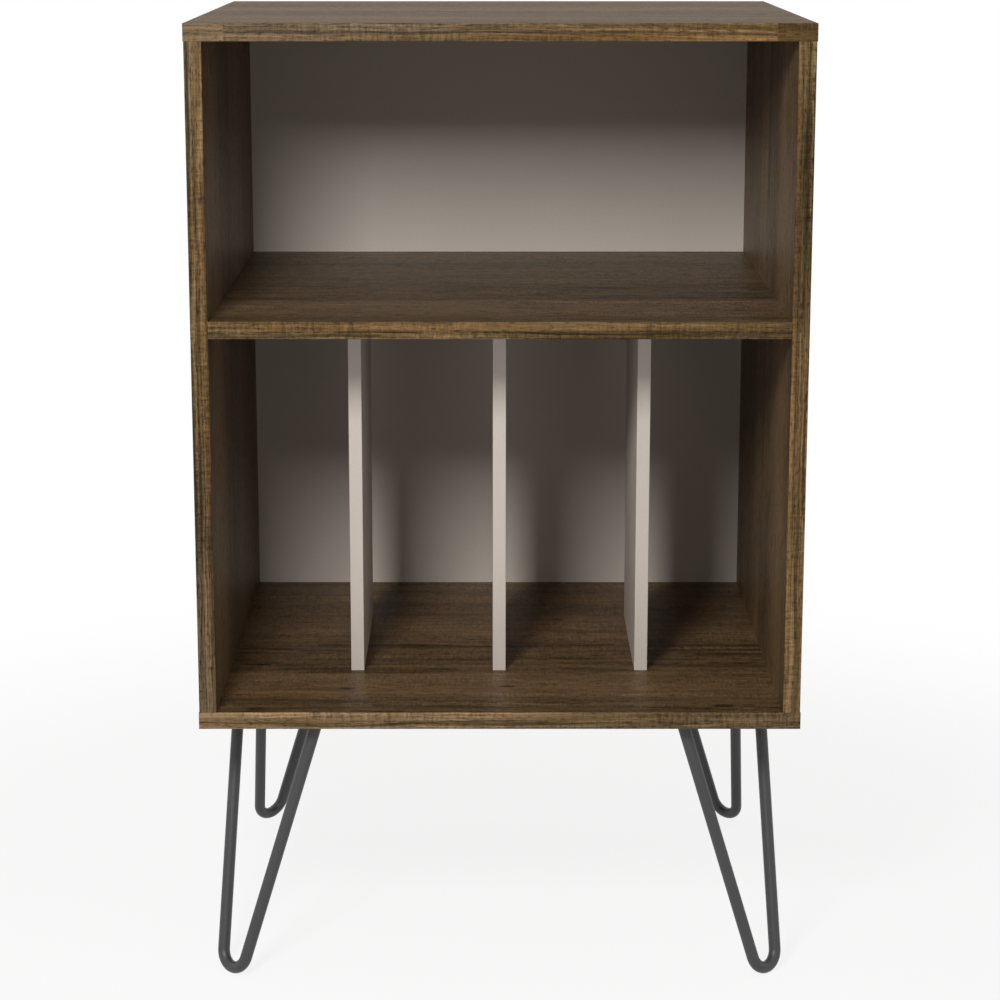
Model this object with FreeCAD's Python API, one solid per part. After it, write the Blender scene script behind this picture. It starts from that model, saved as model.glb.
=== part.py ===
import FreeCAD, Part
import math
import os

from FreeCAD import Placement, Rotation, Vector

# Turntable stand: an open cabinet with record dividers on four hairpin legs.
# Millimetres, +Z up, front towards -Y, origin on the floor under the middle of the stand.

# Cabinet
WIDTH = 527.0
CARCASS_DEPTH = 450.0
LEG_HEIGHT = 236.0
RECORD_BAY_HEIGHT = 331.0
UPPER_BAY_HEIGHT = 235.0
BOARD = 15.0
SIDE_STEP = 0.5  # the sides stand back this far under the ends of top and bottom

# Edge strips
STRIP = 1.0
STRIP_ROUND = 0.6

# Back panel, nailed over the rear edges
BACK_THICKNESS = 3.0
BACK_MARGIN = 2.0

# Record dividers
DIVIDER_BOARD = 12.0
DIVIDER_DEPTH = 190.0
DIVIDER_PITCH = 130.5
DIVIDER_FIXING_INSET = 40.0

# Hairpin rods, measured from the cabinet's corner to the rod's centre line
ROD_DIAMETER = 10.7
BEND_RADIUS = 15.8
FOOT_FROM_SIDE = 22.7
FOOT_FROM_FRONT = 20.1
ROD_REACH = 79.4  # from the foot to a rod's top, along the cabinet's edge
ROD_SPLAY = 3.5  # the same, square to that edge
WELD = 2.5

# Leg plates
PLATE_THICKNESS = 3.0
PLATE_BORDER = 11.6  # from a rod's centre line to the plate's outer edge
PLATE_TIP = 36.0
PLATE_CORNER = 8.0

# Leg screws, pan head
LEG_SCREW = 4.0
LEG_SCREW_HEAD = 8.0
LEG_SCREW_HEAD_HEIGHT = 2.6
LEG_SCREW_TO_WELD = 4.6
LEG_SCREW_TO_EDGE = 14.0

# Blind holes
BLIND_FLOOR = 4.0  # board left under a blind hole in a face
HOLE_END_GAP = 0.5
FIT = 0.08  # radial clearance of a fixing in its hole
SCREW_HOLE_PLAY = 0.3  # radial clearance where a screw passes through

# Wood dowels between the main boards
DOWEL = 8.0
DOWEL_LENGTH = 30.0
DOWEL_CHAMFER = 1.0
DOWEL_INSET = 96.0  # from the carcass front and rear

# Slim dowels between dividers and shelf
SLIM_DOWEL = 6.0
SLIM_DOWEL_LENGTH = 28.0

# Cam bolts and cam locks
CAM_INSET = 64.0  # from the carcass front and rear
CAM_FROM_EDGE = 24.0
CAM = 15.0
CAM_FLOOR = 3.0
CAM_CAVITY = 9.2
CAM_DRIVE = 8.0
CAM_DRIVE_WIDTH = 1.3
CAM_DRIVE_DEPTH = 2.0
CAM_BOLT_THREAD = 6.0
CAM_BOLT_SHANK = 6.6
CAM_BOLT_NECK = 3.8
CAM_BOLT_HEAD = 6.4
CAM_BOLT_HEAD_LENGTH = 4.0
CAM_COVER = 18.0
CAM_COVER_THICKNESS = 0.3

# Countersunk screws driven up through the bottom board
BASE_SCREW = 6.3
BASE_SCREW_HEAD = 10.0
BASE_SCREW_LENGTH = 50.0
BASE_SCREW_INSET = 64.0
DIVIDER_SCREW = 4.0
DIVIDER_SCREW_HEAD = 8.0
DIVIDER_SCREW_LENGTH = 40.0

# Drives in the screw heads: a cross in the small screws, a hexagon socket in the base screws
CROSS_DRIVE = 4.4
CROSS_DRIVE_WIDTH = 0.9
CROSS_DRIVE_DEPTH = 1.4
HEX_DRIVE = 4.0  # across the flats
HEX_DRIVE_DEPTH = 3.0

# Back panel nails
NAIL = 1.6
NAIL_HEAD = 3.8
NAIL_HEAD_HEIGHT = 0.8
NAIL_LENGTH = 20.0
NAIL_SPACING = 95.0

# A cut starts this far outside the face that it opens
OVERRUN = 1.0

# Shares of a fixing's own head and diameter
PAN_HEAD_RIM_SHARE = 0.45
PAN_HEAD_TOP_SHARE = 0.6
POINT_SHARES = (1.0, 0.2)

X = Vector(1, 0, 0)
Y = Vector(0, 1, 0)
Z = Vector(0, 0, 1)

# Levels and planes that the boards share
BOTTOM_LOW = LEG_HEIGHT
BOTTOM_TOP = BOTTOM_LOW + BOARD
SHELF_LOW = BOTTOM_TOP + RECORD_BAY_HEIGHT
SHELF_TOP = SHELF_LOW + BOARD
TOP_LOW = SHELF_TOP + UPPER_BAY_HEIGHT
TOP_TOP = TOP_LOW + BOARD
FRONT = -(CARCASS_DEPTH + BACK_THICKNESS) / 2
REAR = FRONT + CARCASS_DEPTH
MIDDLE = (FRONT + REAR) / 2
CORE_FRONT = FRONT + STRIP
END = WIDTH / 2
CORE_END = END - STRIP
SIDE_OUTER = END - SIDE_STEP
SIDE_INNER = SIDE_OUTER - BOARD
SIDE_MID = SIDE_OUTER - BOARD / 2
FACE_HOLE_DEPTH = BOARD - BLIND_FLOOR
PLATE_LOW = LEG_HEIGHT - PLATE_THICKNESS

SIDES = {"left": -1, "right": 1}
ENDS = {"front": -1, "rear": 1}
DIVIDERS = {"left": -DIVIDER_PITCH, "centre": 0, "right": DIVIDER_PITCH}


def box(low, high):
    size = high - low
    return Part.makeBox(size.x, size.y, size.z, low)


def drill(mouth, inwards, diameter, depth):
    """Cutter for a round hole of this depth, entered at mouth."""
    start = mouth - inwards * OVERRUN
    return Part.makeCylinder(diameter / 2, depth + OVERRUN, start, inwards)


def drilled(solid, cutters):
    return solid.cut(cutters) if cutters else solid


def turned(profile, base, direction):
    """Solid of revolution from (radius, height) pairs, standing on base along direction."""
    outline = [Vector(radius, 0, height) for radius, height in profile]
    first = Vector(0, 0, profile[0][1])
    last = Vector(0, 0, profile[-1][1])
    face = Part.Face(Part.makePolygon([first] + outline + [last, first]))
    solid = face.revolve(Vector(), Z, 360)
    solid.Placement = Placement(base, Rotation(Z, direction))
    return solid


def depth_places(inset):
    """The two places along the depth that lie inset from the carcass front and rear."""
    return (FRONT + inset, REAR - inset)


def edge_strip(start, along, across, outwards, length, width):
    """Strip glued on a board's edge: flat at the back, with both outer arrises rounded."""
    inset = STRIP_ROUND * (1 - math.sqrt(0.5))

    def at(a, b):
        return start + across * a + outwards * b

    shoulder = STRIP - STRIP_ROUND
    edges = [
        Part.LineSegment(at(0, 0), at(width, 0)),
        Part.LineSegment(at(width, 0), at(width, shoulder)),
        Part.Arc(at(width, shoulder), at(width - inset, STRIP - inset), at(width - STRIP_ROUND, STRIP)),
        Part.LineSegment(at(width - STRIP_ROUND, STRIP), at(STRIP_ROUND, STRIP)),
        Part.Arc(at(STRIP_ROUND, STRIP), at(inset, STRIP - inset), at(0, shoulder)),
        Part.LineSegment(at(0, shoulder), at(0, 0)),
    ]
    wire = Part.Wire([edge.toShape() for edge in edges])
    return Part.Face(wire).extrude(along * length)


def dowel_joint(point, into_face, diameter, length):
    """Dowel across a joint, with the cutters for its holes in the face and in the edge."""
    in_face = FACE_HOLE_DEPTH - HOLE_END_GAP
    in_edge = length - in_face
    radius = diameter / 2
    tip = radius - DOWEL_CHAMFER
    profile = [
        (tip, 0),
        (radius, DOWEL_CHAMFER),
        (radius, length - DOWEL_CHAMFER),
        (tip, length),
    ]
    dowel = turned(profile, point - into_face * in_edge, into_face)
    hole = diameter + 2 * FIT
    face_cut = drill(point, into_face, hole, FACE_HOLE_DEPTH)
    edge_cut = drill(point, -into_face, hole, in_edge + HOLE_END_GAP)
    return dowel, face_cut, edge_cut


def cam_bolt(point, into_face):
    """Bolt screwed into a face, whose neck and head reach into the cam lock of the edge board."""
    wall = CAM_FROM_EDGE - CAM / 2 - FIT
    head_start = CAM_FROM_EDGE - CAM_BOLT_HEAD_LENGTH / 2
    head_end = CAM_FROM_EDGE + CAM_BOLT_HEAD_LENGTH / 2
    thread_end = HOLE_END_GAP - FACE_HOLE_DEPTH
    profile = [
        (CAM_BOLT_THREAD / 2, thread_end),
        (CAM_BOLT_THREAD / 2, 0),
        (CAM_BOLT_SHANK / 2, 0),
        (CAM_BOLT_SHANK / 2, wall),
        (CAM_BOLT_NECK / 2, wall),
        (CAM_BOLT_NECK / 2, head_start),
        (CAM_BOLT_HEAD / 2, head_start),
        (CAM_BOLT_HEAD / 2, head_end),
    ]
    return turned(profile, point, -into_face)


def cam_lock():
    """Cam lock, locked: local +Z out of the board, bolt coming from local +X."""
    height = BOARD - CAM_FLOOR - HOLE_END_GAP
    radius = CAM / 2 - FIT
    bolt = Vector(0, 0, -BOARD / 2)
    cavity_height = CAM_BOLT_HEAD + 2 * SCREW_HOLE_PLAY
    cavity_low = bolt - Z * cavity_height / 2
    cutters = [
        Part.makeCylinder(CAM_CAVITY / 2, cavity_height, cavity_low),
        Part.makeCylinder(CAM_BOLT_NECK / 2 + SCREW_HOLE_PLAY, CAM, bolt, X),
        Part.makeCylinder(cavity_height / 2, CAM, bolt, Y),
    ]
    for length, width in ((CAM_DRIVE, CAM_DRIVE_WIDTH), (CAM_DRIVE_WIDTH, CAM_DRIVE)):
        low = Vector(-length / 2, -width / 2, -CAM_DRIVE_DEPTH)
        cutters.append(box(low, Vector(length / 2, width / 2, OVERRUN)))
    body = Part.makeCylinder(radius, height, Vector(0, 0, -height))
    return body.cut(cutters)


def cam_joint(point, into_face, out_of_board):
    """Cam bolt, cam lock and cover disc of one joint, with the cutters for face and edge board."""
    centre = point - into_face * CAM_FROM_EDGE
    mouth = centre + out_of_board * (BOARD / 2)
    lock = cam_lock()
    lock.Placement = Placement(mouth, Rotation(into_face, Vector(), out_of_board, "ZXY"))
    cover = Part.makeCylinder(CAM_COVER / 2, CAM_COVER_THICKNESS, mouth, out_of_board)
    face_cut = drill(point, into_face, CAM_BOLT_THREAD + 2 * FIT, FACE_HOLE_DEPTH)
    edge_cuts = [
        drill(point, -into_face, CAM_BOLT_SHANK + 2 * FIT, CAM_FROM_EDGE),
        drill(mouth, -out_of_board, CAM, BOARD - CAM_FLOOR),
    ]
    return cam_bolt(point, into_face), lock, cover, face_cut, edge_cuts


def cross_drive(face):
    """Cutters for a cross recess, entered upwards at face."""
    cutters = []
    for long, wide in ((CROSS_DRIVE, CROSS_DRIVE_WIDTH), (CROSS_DRIVE_WIDTH, CROSS_DRIVE)):
        half = Vector(long / 2, wide / 2, 0)
        cutters.append(box(face - half - Z * OVERRUN, face + half + Z * CROSS_DRIVE_DEPTH))
    return cutters


def hex_drive(face):
    """Cutter for a hexagon socket, entered upwards at face."""
    radius = HEX_DRIVE / math.sqrt(3)
    below = face - Z * OVERRUN
    angles = [math.radians(60 * number) for number in range(6)]
    corners = [below + Vector(math.cos(angle), math.sin(angle), 0) * radius for angle in angles]
    hexagon = Part.Face(Part.makePolygon(corners + corners[:1]))
    return [hexagon.extrude(Z * (OVERRUN + HEX_DRIVE_DEPTH))]


# Diameter, head, length and drive of the countersunk screws, by node name
COUNTERSUNK = {
    "base_screws": (BASE_SCREW, BASE_SCREW_HEAD, BASE_SCREW_LENGTH, hex_drive),
    "divider_screws": (DIVIDER_SCREW, DIVIDER_SCREW_HEAD, DIVIDER_SCREW_LENGTH, cross_drive),
}


def countersunk_screw(point, diameter, head, length, drive):
    """Screw driven upwards from point, its flat head flush there, with its two hole cutters."""
    radius = diameter / 2
    sink = (head - diameter) / 2
    tip_length = diameter * POINT_SHARES[0]
    profile = [
        (head / 2, 0),
        (radius, sink),
        (radius, length - tip_length),
        (radius * POINT_SHARES[1], length),
    ]
    screw = turned(profile, point, Z).cut(drive(point))
    play = SCREW_HOLE_PLAY
    below = -OVERRUN
    through = [
        (head / 2 + FIT, below),
        (head / 2 + FIT, 0),
        (radius + play, sink + FIT - play),
        (radius + play, BOARD + OVERRUN),
    ]
    through_cut = turned(through, point, Z)
    pilot = drill(point + Z * BOARD, Z, diameter + 2 * FIT, length - BOARD + HOLE_END_GAP)
    return screw, through_cut, pilot


def leg_screw(point):
    """Pan-head screw driven upwards through a leg plate, its head under point."""
    head = LEG_SCREW_HEAD / 2
    radius = LEG_SCREW / 2
    length = PLATE_THICKNESS + FACE_HOLE_DEPTH - HOLE_END_GAP
    tip_length = LEG_SCREW * POINT_SHARES[0]
    rim = LEG_SCREW_HEAD_HEIGHT * PAN_HEAD_RIM_SHARE
    profile = [
        (head * PAN_HEAD_TOP_SHARE, -LEG_SCREW_HEAD_HEIGHT),
        (head, -rim),
        (head, 0),
        (radius, 0),
        (radius, length - tip_length),
        (radius * POINT_SHARES[1], length),
    ]
    return turned(profile, point, Z).cut(cross_drive(point - Z * LEG_SCREW_HEAD_HEIGHT))


def corner_point(side, end, from_side, from_end, height):
    """Point measured inwards from one vertical corner of the carcass."""
    x = side * (END - from_side)
    y = MIDDLE + end * (CARCASS_DEPTH / 2 - from_end)
    return Vector(x, y, height)


def hairpin_rod(side, end):
    """One bent rod with its weld beads, standing on the floor and cut off under the leg plate."""
    radius = ROD_DIAMETER / 2
    foot = corner_point(side, end, FOOT_FROM_SIDE, FOOT_FROM_FRONT, radius)
    tops = [
        corner_point(side, end, FOOT_FROM_SIDE + du, FOOT_FROM_FRONT + dv, LEG_HEIGHT)
        for du, dv in ((ROD_REACH, ROD_SPLAY), (ROD_SPLAY, ROD_REACH))
    ]
    rise = (tops[0] + tops[1]) / 2 - foot
    up = Vector(rise).normalize()
    across = (tops[1] - tops[0]).normalize()
    centre = foot + up * BEND_RADIUS
    half_spread = (tops[1] - tops[0]).Length / 2
    reach = rise.Length - BEND_RADIUS
    turn = math.atan2(half_spread, reach) + math.acos(BEND_RADIUS / math.hypot(half_spread, reach))
    tangents = [
        centre + (up * math.cos(turn) + across * (way * math.sin(turn))) * BEND_RADIUS for way in (-1, 1)
    ]
    ends = [top + (top - tangent).normalize() * ROD_DIAMETER for top, tangent in zip(tops, tangents)]
    path = Part.Wire(
        [
            Part.LineSegment(ends[0], tangents[0]).toShape(),
            Part.Arc(tangents[0], foot, tangents[1]).toShape(),
            Part.LineSegment(tangents[1], ends[1]).toShape(),
        ]
    )
    section = Part.Wire(Part.makeCircle(radius, ends[0], tangents[0] - ends[0]))
    rod = path.makePipeShell([section], True, False)
    beads = []
    for top, tangent in zip(tops, tangents):
        slope = (top - tangent).normalize()
        seat = top - slope * (PLATE_THICKNESS / slope.z)
        beads.append(Part.makeTorus(radius / slope.z, WELD, seat, Z))
    below_plate = box(
        corner_point(-1, -1, 0, 0, 0),
        corner_point(1, 1, 0, 0, PLATE_LOW),
    )
    return rod.fuse(beads).common(below_plate).removeSplitter()


def plate_places():
    """Arm length of a leg plate and its screw places, from the plate's own square corner."""
    rod_place = ROD_REACH - ROD_SPLAY + PLATE_BORDER
    far = rod_place + ROD_DIAMETER / 2 + WELD + LEG_SCREW_TO_WELD + LEG_SCREW_HEAD / 2
    near = LEG_SCREW_TO_EDGE
    arm = far + near
    slant = (arm + PLATE_TIP) / 2 - near * math.sqrt(0.5)
    return arm, [(near, near), (far, near), (near, far), (slant, slant)]


def plate_point(side, end, along_x, along_y, height):
    """Point measured from a leg plate's own square corner."""
    from_side = FOOT_FROM_SIDE + ROD_SPLAY - PLATE_BORDER + along_x
    from_end = FOOT_FROM_FRONT + ROD_SPLAY - PLATE_BORDER + along_y
    return corner_point(side, end, from_side, from_end, height)


def leg_plate(side, end):
    """Flat steel corner plate with its slanted inner edge, rounded corners and screw holes."""
    arm, holes = plate_places()
    outline = [(0, 0), (arm, 0), (arm, PLATE_TIP), (PLATE_TIP, arm), (0, arm)]
    corners = [plate_point(side, end, a, b, PLATE_LOW) for a, b in outline]
    blank = Part.Face(Part.makePolygon(corners + corners[:1])).extrude(Z * PLATE_THICKNESS)
    upright = [edge for edge in blank.Edges if abs(edge.tangentAt(edge.FirstParameter).z) > math.sqrt(0.5)]
    plate = blank.makeFillet(PLATE_CORNER, upright)
    hole = LEG_SCREW + 2 * SCREW_HOLE_PLAY
    return plate.cut(
        [
            drill(plate_point(side, end, a, b, PLATE_LOW), Z, hole, PLATE_THICKNESS + OVERRUN)
            for a, b in holes
        ]
    )


def spaced(low, high):
    """Evenly spaced places between low and high, both left out."""
    count = max(1, math.ceil((high - low) / NAIL_SPACING))
    step = (high - low) / count
    return [low + step * number for number in range(1, count)]


def nail_places():
    """(x, z) of each nail: round the back panel's edge and along the shelf."""
    shelf_mid = SHELF_LOW + BOARD / 2
    bottom_mid = BOTTOM_LOW + BOARD / 2
    top_mid = TOP_LOW + BOARD / 2
    places = [(x, z) for z in (bottom_mid, top_mid) for x in (-SIDE_MID, SIDE_MID)]
    for z in (bottom_mid, shelf_mid, top_mid):
        places += [(x, z) for x in spaced(-SIDE_MID, SIDE_MID)]
    for x in (-SIDE_MID, SIDE_MID):
        places += [(x, z) for z in spaced(bottom_mid, top_mid)]
    return places


def nail(place):
    head = NAIL_HEAD / 2
    radius = NAIL / 2
    tip_length = NAIL * POINT_SHARES[0]
    profile = [
        (head, 0),
        (head, NAIL_HEAD_HEIGHT),
        (radius, NAIL_HEAD_HEIGHT),
        (radius, NAIL_LENGTH - tip_length),
        (radius * POINT_SHARES[1], NAIL_LENGTH),
    ]
    return turned(profile, place, -Y)


def board_strips():
    """Edge strips of the five boards, by node name."""
    strips = {}
    run = CARCASS_DEPTH - STRIP
    for name, low in (("top", TOP_LOW), ("bottom", BOTTOM_LOW)):
        start = Vector(-END, CORE_FRONT, low)
        strips[f"{name}_front_strip"] = edge_strip(start, X, Z, -Y, WIDTH, BOARD)
        for label, side in SIDES.items():
            start = Vector(side * CORE_END, CORE_FRONT, low)
            strips[f"{name}_{label}_strip"] = edge_strip(start, Y, Z, X * side, run, BOARD)
    for label, side in SIDES.items():
        start = Vector(side * SIDE_INNER, CORE_FRONT, BOTTOM_TOP)
        strips[f"{label}_side_strip"] = edge_strip(start, Z, X * side, -Y, TOP_LOW - BOTTOM_TOP, BOARD)
    start = Vector(-SIDE_INNER, CORE_FRONT, SHELF_LOW)
    strips["shelf_strip"] = edge_strip(start, X, Z, -Y, 2 * SIDE_INNER, BOARD)
    return strips


def divider_strips():
    strips = {}
    for label, x in DIVIDERS.items():
        for end_label, end in ENDS.items():
            core_end = MIDDLE + end * (DIVIDER_DEPTH / 2 - STRIP)
            start = Vector(x - DIVIDER_BOARD / 2, core_end, BOTTOM_TOP)
            strips[f"{label}_divider_{end_label}_strip"] = edge_strip(
                start, Z, X, Y * end, RECORD_BAY_HEIGHT, DIVIDER_BOARD
            )
    return strips


def cores():
    """The boards before drilling, by node name."""
    boards = {
        "top_board": box(Vector(-CORE_END, CORE_FRONT, TOP_LOW), Vector(CORE_END, REAR, TOP_TOP)),
        "bottom_board": box(Vector(-CORE_END, CORE_FRONT, BOTTOM_LOW), Vector(CORE_END, REAR, BOTTOM_TOP)),
        "fixed_shelf": box(Vector(-SIDE_INNER, CORE_FRONT, SHELF_LOW), Vector(SIDE_INNER, REAR, SHELF_TOP)),
        "left_side": box(Vector(-SIDE_OUTER, CORE_FRONT, BOTTOM_TOP), Vector(-SIDE_INNER, REAR, TOP_LOW)),
        "right_side": box(Vector(SIDE_INNER, CORE_FRONT, BOTTOM_TOP), Vector(SIDE_OUTER, REAR, TOP_LOW)),
        "back_panel": box(
            Vector(BACK_MARGIN - END, REAR, BOTTOM_LOW + BACK_MARGIN),
            Vector(END - BACK_MARGIN, REAR + BACK_THICKNESS, TOP_TOP - BACK_MARGIN),
        ),
    }
    half = DIVIDER_DEPTH / 2 - STRIP
    for label, x in DIVIDERS.items():
        low = Vector(x - DIVIDER_BOARD / 2, MIDDLE - half, BOTTOM_TOP)
        high = Vector(x + DIVIDER_BOARD / 2, MIDDLE + half, SHELF_LOW)
        boards[f"{label}_divider"] = box(low, high)
    return boards


class Joinery:
    """Collects the fixings of the stand, and the cutters for their holes in each board."""

    def __init__(self, boards):
        self.cuts = {name: [] for name in boards}
        self.fixings = {}

    def add(self, name, solid):
        self.fixings.setdefault(name, []).append(solid)

    def dowel(self, face, edge, point, into_face, name, diameter, length):
        dowel, face_cut, edge_cut = dowel_joint(point, into_face, diameter, length)
        self.add(name, dowel)
        self.cuts[face].append(face_cut)
        self.cuts[edge].append(edge_cut)

    def cam(self, face, edge, point, into_face, out_of_board):
        bolt, lock, cover, face_cut, edge_cuts = cam_joint(point, into_face, out_of_board)
        self.add("cam_bolts", bolt)
        self.add("cam_locks", lock)
        self.add("cam_covers", cover)
        self.cuts[face].append(face_cut)
        self.cuts[edge] += edge_cuts

    def screw_up(self, board, name, point):
        screw, through, pilot = countersunk_screw(point, *COUNTERSUNK[name])
        self.add(name, screw)
        self.cuts["bottom_board"].append(through)
        self.cuts[board].append(pilot)

    def sides(self):
        """Top, bottom and shelf to the two side boards."""
        shelf_mid = SHELF_LOW + BOARD / 2
        for label, side in SIDES.items():
            board = f"{label}_side"
            outwards = X * side
            for y in depth_places(DOWEL_INSET):
                top = Vector(side * SIDE_MID, y, TOP_LOW)
                bottom = Vector(side * SIDE_MID, y, BOTTOM_TOP)
                shelf = Vector(side * SIDE_INNER, y, shelf_mid)
                self.dowel("top_board", board, top, Z, "wood_dowels", DOWEL, DOWEL_LENGTH)
                self.dowel("bottom_board", board, bottom, -Z, "wood_dowels", DOWEL, DOWEL_LENGTH)
                self.dowel(board, "fixed_shelf", shelf, outwards, "wood_dowels", DOWEL, DOWEL_LENGTH)
            for y in depth_places(CAM_INSET):
                self.cam("top_board", board, Vector(side * SIDE_MID, y, TOP_LOW), Z, -outwards)
                self.cam(board, "fixed_shelf", Vector(side * SIDE_INNER, y, shelf_mid), outwards, -Z)
            for y in depth_places(BASE_SCREW_INSET):
                self.screw_up(board, "base_screws", Vector(side * SIDE_MID, y, BOTTOM_LOW))

    def dividers(self):
        """Dividers to the bottom board with screws, and to the shelf with slim dowels."""
        reach = DIVIDER_DEPTH / 2 - DIVIDER_FIXING_INSET
        for label, x in DIVIDERS.items():
            board = f"{label}_divider"
            for y in (MIDDLE - reach, MIDDLE + reach):
                over = Vector(x, y, SHELF_LOW)
                self.dowel("fixed_shelf", board, over, Z, "divider_dowels", SLIM_DOWEL, SLIM_DOWEL_LENGTH)
                self.screw_up(board, "divider_screws", Vector(x, y, BOTTOM_LOW))

    def legs(self):
        """Leg plates to the bottom board."""
        holes = plate_places()[1]
        for side in SIDES.values():
            for end in ENDS.values():
                for a, b in holes:
                    self.add("leg_screws", leg_screw(plate_point(side, end, a, b, PLATE_LOW)))
                    mouth = plate_point(side, end, a, b, BOTTOM_LOW)
                    self.cuts["bottom_board"].append(drill(mouth, Z, LEG_SCREW + 2 * FIT, FACE_HOLE_DEPTH))

    def back(self):
        """Back panel to the rear edges of the carcass."""
        rear_boards = {
            BOTTOM_LOW + BOARD / 2: "bottom_board",
            SHELF_LOW + BOARD / 2: "fixed_shelf",
            TOP_LOW + BOARD / 2: "top_board",
        }
        face = REAR + BACK_THICKNESS
        for x, z in nail_places():
            upright = "left_side" if x < 0 else "right_side"
            board = rear_boards.get(z, upright)
            place = Vector(x, face, z)
            self.add("back_nails", nail(place))
            shaft = NAIL + 2 * FIT
            in_board = NAIL_LENGTH - BACK_THICKNESS + HOLE_END_GAP
            self.cuts[board].append(drill(Vector(x, REAR, z), -Y, shaft, in_board))
            self.cuts["back_panel"].append(drill(place, -Y, NAIL_HEAD + 2 * FIT, NAIL_HEAD_HEIGHT))
            self.cuts["back_panel"].append(drill(place, -Y, shaft, BACK_THICKNESS + OVERRUN))


def stand():
    """Every node of the stand, by name."""
    boards = cores()
    joinery = Joinery(boards)
    joinery.sides()
    joinery.dividers()
    joinery.legs()
    joinery.back()
    pieces = {name: drilled(core, joinery.cuts[name]) for name, core in boards.items()}
    pieces.update(board_strips())
    pieces.update(divider_strips())
    for end_label, end in ENDS.items():
        for label, side in SIDES.items():
            leg = f"{end_label}_{label}_leg"
            pieces[f"{leg}_rod"] = hairpin_rod(side, end)
            pieces[f"{leg}_plate"] = leg_plate(side, end)
    for name, solids in joinery.fixings.items():
        pieces[name] = Part.makeCompound(solids)
    return pieces


os.makedirs("parts", exist_ok=True)
for node, shape in stand().items():
    shape.exportStep(f"parts/{node}.step")
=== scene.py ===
"""Looks of the turntable stand: walnut-print boards, taupe dividers, charcoal hairpin legs."""
import math

import bmesh
import bpy
from bpy.props import FloatProperty, FloatVectorProperty, PointerProperty
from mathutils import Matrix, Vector


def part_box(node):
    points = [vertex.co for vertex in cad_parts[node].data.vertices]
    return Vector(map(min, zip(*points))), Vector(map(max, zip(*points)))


bl_info = {
    "name": "Turntable Stand Looks",
    "version": (1, 0, 0),
    "blender": (4, 5, 0),
    "location": "3D View > Sidebar > Stand",
    "description": "Dresses the pieces of the turntable stand and sets up its studio",
    "category": "Object",
}

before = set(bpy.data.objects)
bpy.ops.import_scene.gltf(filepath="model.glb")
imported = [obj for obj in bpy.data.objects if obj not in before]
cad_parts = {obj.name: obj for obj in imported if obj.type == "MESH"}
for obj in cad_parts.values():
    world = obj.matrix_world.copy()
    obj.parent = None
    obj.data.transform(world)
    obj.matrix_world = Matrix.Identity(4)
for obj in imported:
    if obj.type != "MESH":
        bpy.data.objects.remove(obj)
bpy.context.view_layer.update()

BOARDS_LONG = ("top_board", "fixed_shelf", "bottom_board")
BOARDS_TALL = ("left_side", "right_side")
STRIPS_LONG = ("top_front_strip", "shelf_strip", "bottom_front_strip")
STRIPS_TALL = ("left_side_strip", "right_side_strip")
STRIPS_END = ("top_left_strip", "top_right_strip", "bottom_left_strip", "bottom_right_strip")
DIVIDERS = ("left_divider", "centre_divider", "right_divider")
DIVIDER_STRIPS = tuple(f"{name}_{end}_strip" for name in DIVIDERS for end in ("front", "rear"))
CORNERS = ("front_left", "front_right", "rear_left", "rear_right")
RODS = tuple(f"{corner}_leg_rod" for corner in CORNERS)
PLATES = tuple(f"{corner}_leg_plate" for corner in CORNERS)
STEEL_FIXINGS = ("leg_screws", "base_screws", "divider_screws", "back_nails")
ZINC_FIXINGS = ("cam_bolts", "cam_locks")
DOWELS = ("wood_dowels", "divider_dowels")

# Order of the axes for a print: along the grain, across it, out of the face.
GRAIN_LONG = "XYZ"
GRAIN_TALL = "ZYX"
STRIP_LONG = "XZY"
STRIP_TALL = "ZXY"
STRIP_END = "YZX"

# A bare rear starts this far behind the face that it belongs to, in metres.
RAW_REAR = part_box("top_board")[1].y - 0.0002
PANEL_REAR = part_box("back_panel")[0].y + 0.0004


def colour(name, description, value):
    """Colour property in linear red, green and blue."""
    return FloatVectorProperty(
        name=name, description=description, subtype="COLOR", size=3, min=0.0, max=1.0, default=value)


def length(name, description, value):
    """Length property in metres."""
    return FloatProperty(name=name, description=description, unit="LENGTH", precision=4, default=value)


def share(name, description, value):
    """Property between nothing and all."""
    return FloatProperty(
        name=name, description=description, subtype="FACTOR", min=0.0, max=1.0, default=value)


def place(name, description, value):
    """Point in the stand's frame, in metres."""
    return FloatVectorProperty(
        name=name, description=description, subtype="TRANSLATION", unit="LENGTH", size=3, default=value)


def grain(pale, middle, dark, vein, **numbers):
    """Properties of one walnut print: four colours, then lengths and shares by name."""
    lengths = {
        "lane": "Width of one lane of grain",
        "run": "Length over which a lane changes",
        "streak": "Length of a dark streak",
        "hair": "Width of a thin dark line",
        "wave": "How far a lane wanders to the side",
        "fibre_run": "Length of a fibre",
        "pore_run": "Length of a pore",
        "pore_width": "Width of a pore",
    }
    shares = {
        "contrast": "How far the lanes differ in tone",
        "vein_cover": "How dark the veins are",
        "saw": "Strength of the cross-grain saw marks",
        "fibre": "Strength of the fine fibres",
        "pore": "Strength of the short dark pores",
        "roughness": "Roughness of the satin lacquer",
    }
    properties = {
        "pale": colour("Pale grain", "Palest lanes of the print", pale),
        "middle": colour("Middle grain", "Most of the print", middle),
        "dark": colour("Dark grain", "Darkest lanes of the print", dark),
        "vein": colour("Vein", "Thin mineral veins", vein),
        "rings": FloatProperty(
            name="Rings", description="Growth rings in the figure", min=0.0, default=numbers["rings"]),
    }
    for key, words in lengths.items():
        properties[key] = length(key.replace("_", " ").capitalize(), words, numbers[key])
    for key, words in shares.items():
        properties[key] = share(key.replace("_", " ").capitalize(), words, numbers[key])
    return properties


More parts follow.
